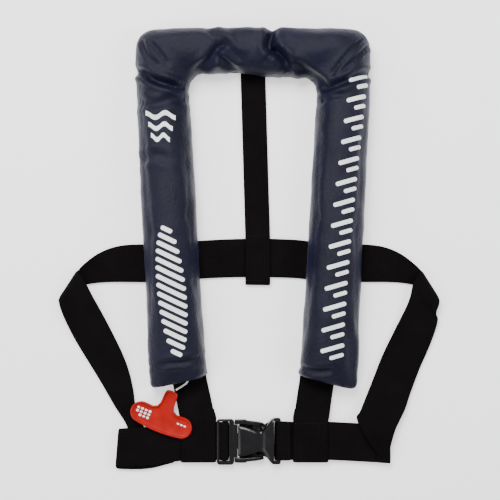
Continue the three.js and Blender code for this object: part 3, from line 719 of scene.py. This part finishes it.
def pillow(name, outline, z0, z1, edge, crown=0.0, steps=4):
    # moulded block: rounded rim above and below, faces slightly crowned
    rings = []
    for i in range(steps + 1):
        a = math.pi / 2 * i / steps
        rings.append((edge * (1 - math.sin(a)), z0 + edge * (1 - math.cos(a))))
    rings += [(d, z0 + z1 - z) for d, z in rings[::-1]]
    rings = [(edge * 2.2, z0 - crown * 0.3 + 0.2)] + rings + [(edge * 2.2, z1 + crown)]
    verts, faces, count = [], [], len(outline)
    for d, z in rings:
        verts += [(x * mm, y * mm, z * mm) for x, y in inset(outline, d)]
    for r in range(len(rings) - 1):
        near, far = r * count, (r + 1) * count
        faces += [(near + k, near + (k + 1) % count, far + (k + 1) % count, far + k) for k in range(count)]
    faces += [tuple(range(count)), tuple(range((len(rings) - 1) * count, len(rings) * count))]
    obj = meshObject(name, verts, faces)
    tidy = bmesh.new()
    tidy.from_mesh(obj.data)
    bmesh.ops.triangulate(tidy, faces=[f for f in tidy.faces if len(f.verts) > 4])
    tidy.to_mesh(obj.data)
    tidy.free()
    return obj


def subtract(obj, *cutters):
    for cutter in cutters:
        useModifier(obj, "BOOLEAN", operation="DIFFERENCE", object=cutter, solver="EXACT")
        bpy.data.objects.remove(cutter)


def unite(obj, *others):
    for other in others:
        useModifier(obj, "BOOLEAN", operation="UNION", object=other, solver="EXACT")
        bpy.data.objects.remove(other)


def block(x0, x1, y0, y1, z0, z1):
    verts = [(x * mm, y * mm, z * mm) for x in (x0, x1) for y in (y0, y1) for z in (z0, z1)]
    sides = [(0, 1, 3, 2), (4, 6, 7, 5), (0, 4, 5, 1), (2, 3, 7, 6), (0, 2, 6, 4), (1, 5, 7, 3)]
    return meshObject("cutter", verts, sides, False)


def rectangle(x0, x1, half, corner, steps=5):
    points = []
    for cx, cy, start in ((x1 - corner, half - corner, 0), (x0 + corner, half - corner, 1),
                          (x0 + corner, corner - half, 2), (x1 - corner, corner - half, 3)):
        points += [(cx + corner * math.cos(math.pi / 2 * (start + k / steps)),
                    beltY + cy + corner * math.sin(math.pi / 2 * (start + k / steps))) for k in range(steps + 1)]
    return points


def makeBuckle():
    v = buckleValues
    under, over = -5, 30                        # reach of the cuts that go right through
    slotLow, slotHigh = beltY - v["slotHalf"], beltY + v["slotHalf"]
    half = [(-14.6, 19.8), (-9, 19.4), (-4, 18.4), (1, 16.8), (5, 15.2), (9, 13.8), (12, 13.2), (15, 13.3),
            (17.5, 14.4), (20, 16.8), (22.5, 20.2), (25, 23.8), (27.5, 27), (30, 29), (33, 30), (38.5, 30),
            (40.6, 29)]
    outline = [(x, beltY + y) for x, y in half] + [(40.8, beltY + 26), (40.8, beltY - 26)] \
        + [(x, beltY - y) for x, y in half[::-1]]
    socket = pillow("buckle_socket", outline, 0.2, 2 * buckleZ - 0.2, v["edge"], v["crown"])
    useModifier(socket, "REMESH", mode="VOXEL", voxel_size=v["voxel"] * mm, use_smooth_shade=True)
    for vertex in socket.data.vertices:         # thinner towards the mouth, flared behind the waist
        x, y = vertex.co.x / mm, vertex.co.y / mm - beltY
        outward = clamp(vertex.co.z / mm / buckleZ - 1, -1, 1)
        change = -1.6 * smooth((12 - x) / 28) - 1.2 * (y / 24) ** 2 * smooth((24 - x) / 14)
        change += (v["flare"] * smooth((x - 16) / 15) * (1 - 0.35 * (y / 30) ** 2)
                   - 1.1 * smooth((x - 8) / 8) * smooth((22 - x) / 8))
        vertex.co.z += change * outward * (1 if outward > 0 else 0.25) * mm
    useModifier(socket, "SMOOTH", factor=0.5, iterations=4)
    tray = [(-13, 22.8), (4, 23), (14, 22), (20, 21), (27, 25)]
    trayOutline = [(x, beltY + y) for x, y in tray] + [(x, beltY - y) for x, y in tray[::-1]]
    unite(socket, pillow("tray", trayOutline, 0.3, 2.7, 0.6))
    subtract(socket, block(-16, 12, beltY - 10.6, beltY + 10.6, buckleZ - 3, buckleZ + 3),
             block(32, 60, beltY - 40, beltY + 40, buckleZ + 3, over),
             block(32, 60, beltY - 40, beltY + 40, under, buckleZ - 3),
             block(32, 36.2, slotLow, slotHigh, under, over))
    useModifier(socket, "BEVEL", width=v["bevel"] * mm, segments=2, limit_method="ANGLE", angle_limit=0.7)
    finish(socket, "buckleGloss", root)
    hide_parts("buckle_female")

    x0, x1 = v["frame"]
    frameOutline = [(x, y + v["frameShift"]) for x, y in rectangle(x0, x1, v["frameHalf"], v["frameCorner"])]
    plug = pillow("buckle_plug", frameOutline, buckleZ - v["frameZ"], buckleZ + v["frameZ"], 1.2)
    # two slots with a thinner bar between them, and the outer bar's lower part cut away for the web
    subtract(plug, block(-38.6, -34.8, slotLow, slotHigh, under, over),
             block(-29.6, -25.9, slotLow, slotHigh, under, over),
             block(-34.9, -29.5, slotLow, slotHigh, buckleZ + 1.4, over),
             block(-34.9, -29.5, slotLow, slotHigh, under, buckleZ - 1.4),
             block(x0 - 1, -38.5, slotLow, slotHigh, under, buckleZ + 1.0))
    unite(plug,
          block(x1 - 1, 11, beltY - v["tongueHalf"], beltY + v["tongueHalf"], buckleZ - 2.6, buckleZ + 2.6),
          block(x1 - 1, -15.1, beltY - v["shoulderHalf"], beltY + v["shoulderHalf"],
                buckleZ - 2.8, buckleZ + 2.8))
    useModifier(plug, "BEVEL", width=v["bevel"] * mm, segments=2, limit_method="ANGLE", angle_limit=0.7)
    finish(plug, "buckleGloss", "belt_left")
    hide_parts("buckle_male")

    arm = [(-19.1, 22), (-19.1, 25), (-18.6, 27.6), (-12, 28), (-5.4, 28), (-4, 27.6), (-3, 26.6), (3, 26),
           (10, 25.2), (15, 24.3), (18, 23.4), (19, 22.6), (18.6, 21.4), (16, 20.6), (10, 20.6), (4, 20.9),
           (-8, 21.9)]
    for side, word in ((1, "upper"), (-1, "lower")):
        prong = pillow("buckle_prong_" + word, [(x, beltY + side * y) for x, y in arm],
                       buckleZ - v["armZ"], buckleZ + v["armZ"], 1.1)
        finish(prong, "buckleGloss", "prong_" + word)
        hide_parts("prong_" + word)
    print("buckle")


makeBuckle()


# ---- pull tab ----
tabValues = {"centre": (-113.5, -219), "tilt": math.radians(22), "wing": 84, "high": 28, "stem": 19, "stemLength": 26,
             "thick": 4.5, "bulge": 5}


def tabOutline(v):
    hw, tip, s, top = v["wing"] / 2, v["high"] / 2, v["stem"] / 2, v["high"] / 2 + v["stemLength"]
    points = [(s, tip + 7), (s - 0.5, top - 8), (s - 1, top - 4), (s - 2.4, top - 1), (s - 6, top),
              (-s + 6, top), (-s + 2.4, top - 1), (-s + 1, top - 4), (-s + 0.5, top - 8), (-s, tip + 7),
              (-s - 2, tip + 2), (-s - 7, tip - 0.6)]
    points += [(-hw + tip + tip * math.cos(a), tip * math.sin(a))
               for a in (math.pi / 2 + math.pi * k / 9 for k in range(10))]
    points += [(x, -tip - v["bulge"] * 0.5 * (1 - (x / (hw - tip)) ** 2)) for x in (-18, -8, 0, 8, 18)]
    points += [(hw - tip + tip * math.cos(a), tip * math.sin(a))
               for a in (-math.pi / 2 + math.pi * k / 9 for k in range(10))]
    points += [(s + 7, tip - 0.6), (s + 2, tip + 2)]
    return points


def makeTab():
    v = tabValues
    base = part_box("pull_tab")[0][2] / mm
    top = base + v["thick"]
    outline = tabOutline(v)
    # round from the underside to the raised rim, then down to the sunk face
    profile = [(2.6, base + 0.25), (0.9, base + 0.2), (0.2, base + 0.9), (0.1, top - 1.0), (0.5, top - 0.15),
               (1.3, top + 0.25), (2.1, top + 0.15), (2.7, top - 0.8), (3.2, top - 1.7), (4.6, top - 2.1)]
    verts, faces, count = [], [], len(outline)
    c, s = math.cos(-v["tilt"]), math.sin(-v["tilt"])
    cx, cy = v["centre"]

    def place(x, y, z):
        return ((cx + x * c - y * s) * mm, (cy + x * s + y * c) * mm, z * mm)

    for d, z in profile:
        verts += [place(x, y, z) for x, y in inset(outline, d)]
    for r in range(len(profile) - 1):
        near, far = r * count, (r + 1) * count
        faces += [(near + k, near + (k + 1) % count, far + (k + 1) % count, far + k) for k in range(count)]
    faces += [tuple(range(count)), tuple(range((len(profile) - 1) * count, len(profile) * count))]
    tab = meshObject("pull_handle", verts, faces)
    finish(tab, "redMoulded", "pull_tab")
    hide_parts("pull_tab")
    verts, faces = [], []
    marks = [(-33 + 5.2 * i, 4.6 - 4.4 * j, 1.7, 1.2 + 0.35 * ((i + j) % 2)) for i in range(4) for j in range(3)
             if (i, j) != (0, 2)]
    marks += [(22 + 4.6 * i, 3.4, 1.5, 1.0) for i in range(3)]
    for mx, my, hw, hh in marks:        # pale dashes on the wings
        base = len(verts)
        ring = [(mx + sx * hw * 0.55 + hw * 0.45 * math.cos(a), my + sy * hh * 0.4 + hh * 0.6 * math.sin(a))
                for sx, sy, start in ((1, 1, 0), (-1, 1, 1), (-1, -1, 2), (1, -1, 3))
                for a in (math.pi / 2 * (start + k / 3) for k in range(4))]
        verts += [place(x, y, top - 1.75) for x, y in ring] + [place(x, y, top - 2.2) for x, y in ring]
        n = len(ring)
        faces += [tuple(base + k for k in range(n)), tuple(base + n + k for k in range(n))[::-1]]
        faces += [(base + k, base + (k + 1) % n, base + n + (k + 1) % n, base + n + k) for k in range(n)]
    finish(meshObject("handle_print", verts, faces, False), "whitePrint", "pull_tab")
    print("tab")


makeTab()


# ---- printed marks on the lobes, in no one's lettering ----
def drapePatch(outline, spacing=2.4, lift=0.45):
    # fills an outline with a fine mesh laid on the cloth
    flat = bmesh.new()
    ring = [flat.verts.new((x * mm, y * mm, 0)) for x, y in outline]
    flat.faces.new(ring)
    bmesh.ops.triangulate(flat, faces=flat.faces[:])
    for _ in range(6):
        edges = [e for e in flat.edges if e.calc_length() > spacing * mm * 1.6]
        if not edges:
            break
        bmesh.ops.subdivide_edges(flat, edges=edges, cuts=1, use_grid_fill=False)
        bmesh.ops.triangulate(flat, faces=[f for f in flat.faces if len(f.verts) > 3])
    verts = []
    for vert in flat.verts:
        z = coverTop(vert.co.x, vert.co.y) or 0.04
        verts.append((vert.co.x, vert.co.y, z + lift * mm))
    flat.verts.index_update()
    faces = [tuple(v.index for v in f.verts) for f in flat.faces]
    flat.free()
    return verts, faces


def bar(cx, cy, length, wide, angle, steps=4):
    c, s = math.cos(angle), math.sin(angle)
    r = min(length, wide) * printValues["roundness"]
    points = []
    for ex, ey, start in ((1, 1, 0), (-1, 1, 1), (-1, -1, 2), (1, -1, 3)):
        for k in range(steps + 1):
            a = math.pi / 2 * (start + k / steps)
            x = ex * (length / 2 - r) + r * math.cos(a)
            y = ey * (wide / 2 - r) + r * math.sin(a)
            points.append((cx + x * c - y * s, cy + x * s + y * c))
    return points


def addMarks(name, outlines):
    verts, faces = [], []
    for outline in outlines:
        v, f = drapePatch(outline)
        faces += [tuple(i + len(verts) for i in face) for face in f]
        verts += v
    marks = meshObject(name, verts, faces)
    for face in marks.data.polygons:
        if face.normal.z < 0:
            face.flip()
    finish(marks, "whitePrint", None)
    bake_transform(marks)


def wave(cx, cy, length, high, wide, turns):
    xs = [length * (k / 20 - 0.5) for k in range(21)]
    line = [(x, high * math.sin(2 * math.pi * turns * x / length)) for x in xs]
    return [(cx + x, cy + y + wide / 2) for x, y in line] + [(cx + x, cy + y - wide / 2) for x, y in line[::-1]]


printValues = {"leafCentre": (-98, -52), "leafLong": 84, "leafWide": 21, "leafLean": math.radians(4.6),
               "leafBars": 15, "leafSlant": math.radians(-30), "columnTop": (139, 212), "columnEnd": (105, -130),
               "columnBars": 14, "columnSlant": math.radians(16), "roundness": 0.45}


def makeMarks():
    v = printValues
    cx, cy = v["leafCentre"]
    c, s = math.cos(v["leafLean"]), math.sin(v["leafLean"])
    outlines = []
    for i in range(v["leafBars"]):         # slanting strokes in the shape of a leaf
        y = lerp(-v["leafLong"], v["leafLong"], i / (v["leafBars"] - 1)) * 0.93
        room = v["leafWide"] * math.sqrt(1 - (y / v["leafLong"]) ** 2)
        outlines.append(bar(cx - y * s, cy + y * c, 2 * room, 5.6, v["leafSlant"] + v["leafLean"]))
    outlines += [wave(-112, 170 - 14 * i, 38 - 7 * i, 3.0, 6.0, 1.5) for i in range(3)]
    addMarks("left_print", outlines)

    outlines = []
    for i in range(v["columnBars"]):       # ladder of bars in pairs down the right lobe
        t = i / (v["columnBars"] - 1)
        x = lerp(v["columnEnd"][0], v["columnTop"][0], (1 - t) ** 1.35)
        y = lerp(v["columnTop"][1], v["columnEnd"][1], t)
        size = lerp(26, 31, t)
        outlines.append(bar(x, y + 6, size, 5.4, v["columnSlant"]))
        outlines.append(bar(x + size * 0.17, y - 4.5, size * 0.6, 5.0, v["columnSlant"]))
    addMarks("right_print", outlines)
    print("prints")


makeMarks()


# ---- folded bladders inside the cover, in metres ----
bladderValues = {"voxel": 0.005, "pleatDeep": 0.0018, "pleatPitch": 0.014, "patch": (0.005, 0.010), "near": 0.005,
                 "below": 0.0055, "roofGap": 0.006, "flatFoot": 0.004, "lobeWidest": 0.12}


def roofNear(x, y):
    # lowest cloth over a small patch, so that nothing shows through a crease
    around = [(0, 0)] + [(r * math.cos(k * math.pi / 4), r * math.sin(k * math.pi / 4))
                         for r in bladderValues["patch"] for k in range(8)]
    return min((coverTop(x + dx, y + dy) or 0) for dx, dy in around)


def makeBladder(name, node, body):
    v = bladderValues
    low, high = (Vector(corner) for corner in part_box(node))
    copy = bpy.data.objects.new(name, bpy.data.objects[node].data.copy())
    bpy.context.collection.objects.link(copy)
    useModifier(copy, "REMESH", mode="VOXEL", voxel_size=v["voxel"], use_smooth_shade=True)
    middle = (low.x + high.x) / 2
    alongLobe = high.x - low.x < v["lobeWidest"]
    for vertex in copy.data.vertices:       # pleats that run along the piece, pressed inwards only
        if vertex.co.z > low.z + v["flatFoot"]:
            across = vertex.co.x - middle if alongLobe else vertex.co.y
            turn = across * 2 * math.pi / v["pleatPitch"]
            vertex.co -= vertex.normal * v["pleatDeep"] * (1 + math.cos(turn))
    for _ in range(2):                      # kept under the cloth
        for vertex in copy.data.vertices:
            place, normal = coverTree.find_nearest(vertex.co)[:2]
            if (vertex.co - place).dot(normal) > -v["near"]:
                vertex.co = place - normal * v["below"]
            roof = roofNear(vertex.co.x, vertex.co.y) - v["roofGap"]
            vertex.co.z = min(vertex.co.z, max(low.z, roof))
    copy.data.shade_smooth()
    finish(copy, "yellowBladder", body)
    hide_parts(node)


for word, body in (("left", root), ("right", root), ("collar", "collar")):
    makeBladder("folded_bladder_" + word, "bladder_" + word, body)


# ---- finishes of the parts that keep their own shape ----
slotMaterials = {"inner_plastic": "innerPlastic", "inner_rubber": "innerRubber", "signal_red": "redMoulded",
                 "bright_steel": "platedSteel"}
for row in frame["record"]["subparts"]:
    own = bpy.data.objects.get(row["node"])
    if own and row["material_slot"] in slotMaterials and row["node"] != "pull_tab":
        material = materials[slotMaterials[row["material_slot"]]]
        if not own.material_slots:
            own.data.materials.append(material)
        for place in own.material_slots:
            place.material = material
print("inner parts")


# ---- floor and light ----
stageValues = {"half": 3, "low": -0.0006, "tone": 0.93, "glow": 0.62, "sky": 0.62,
               "lamps": {"above": ((-0.35, 0.9, 1.5), 0.9, 46), "right": ((1.3, 0.1, 1.1), 0.7, 12),
                         "left": ((-1.2, -0.6, 1.0), 0.9, 9)}}


def makeStage():
    v = stageValues
    half, low = v["half"], v["low"]
    corners = [(-half, -half, low), (half, -half, low), (half, half, low), (-half, half, low)]
    floor = meshObject("floor", corners, [(0, 1, 2, 3)], False)
    material, _, shader = startMaterial("paleFloor", Roughness=0.9)
    shader.inputs["Base Color"].default_value = (v["tone"], v["tone"], v["tone"], 1)
    shader.inputs["Emission Color"].default_value = (1, 1, 1, 1)
    shader.inputs["Emission Strength"].default_value = v["glow"]
    floor.data.materials.append(material)
    world = bpy.data.worlds.new("studio")
    world.use_nodes = True
    background = world.node_tree.nodes["Background"]
    background.inputs[0].default_value = (1, 1, 1, 1)
    background.inputs[1].default_value = v["sky"]
    bpy.context.scene.world = world
    for name, (place, size, power) in v["lamps"].items():
        data = bpy.data.lights.new(name, "AREA")
        data.size = size
        data.energy = power
        lamp = bpy.data.objects.new(name, data)
        lamp.location = place
        lamp.rotation_euler = (Vector((0, 0, 0)) - Vector(place)).to_track_quat("-Z", "Y").to_euler()
        bpy.context.collection.objects.link(lamp)


makeStage()
bpy.context.view_layer.update()
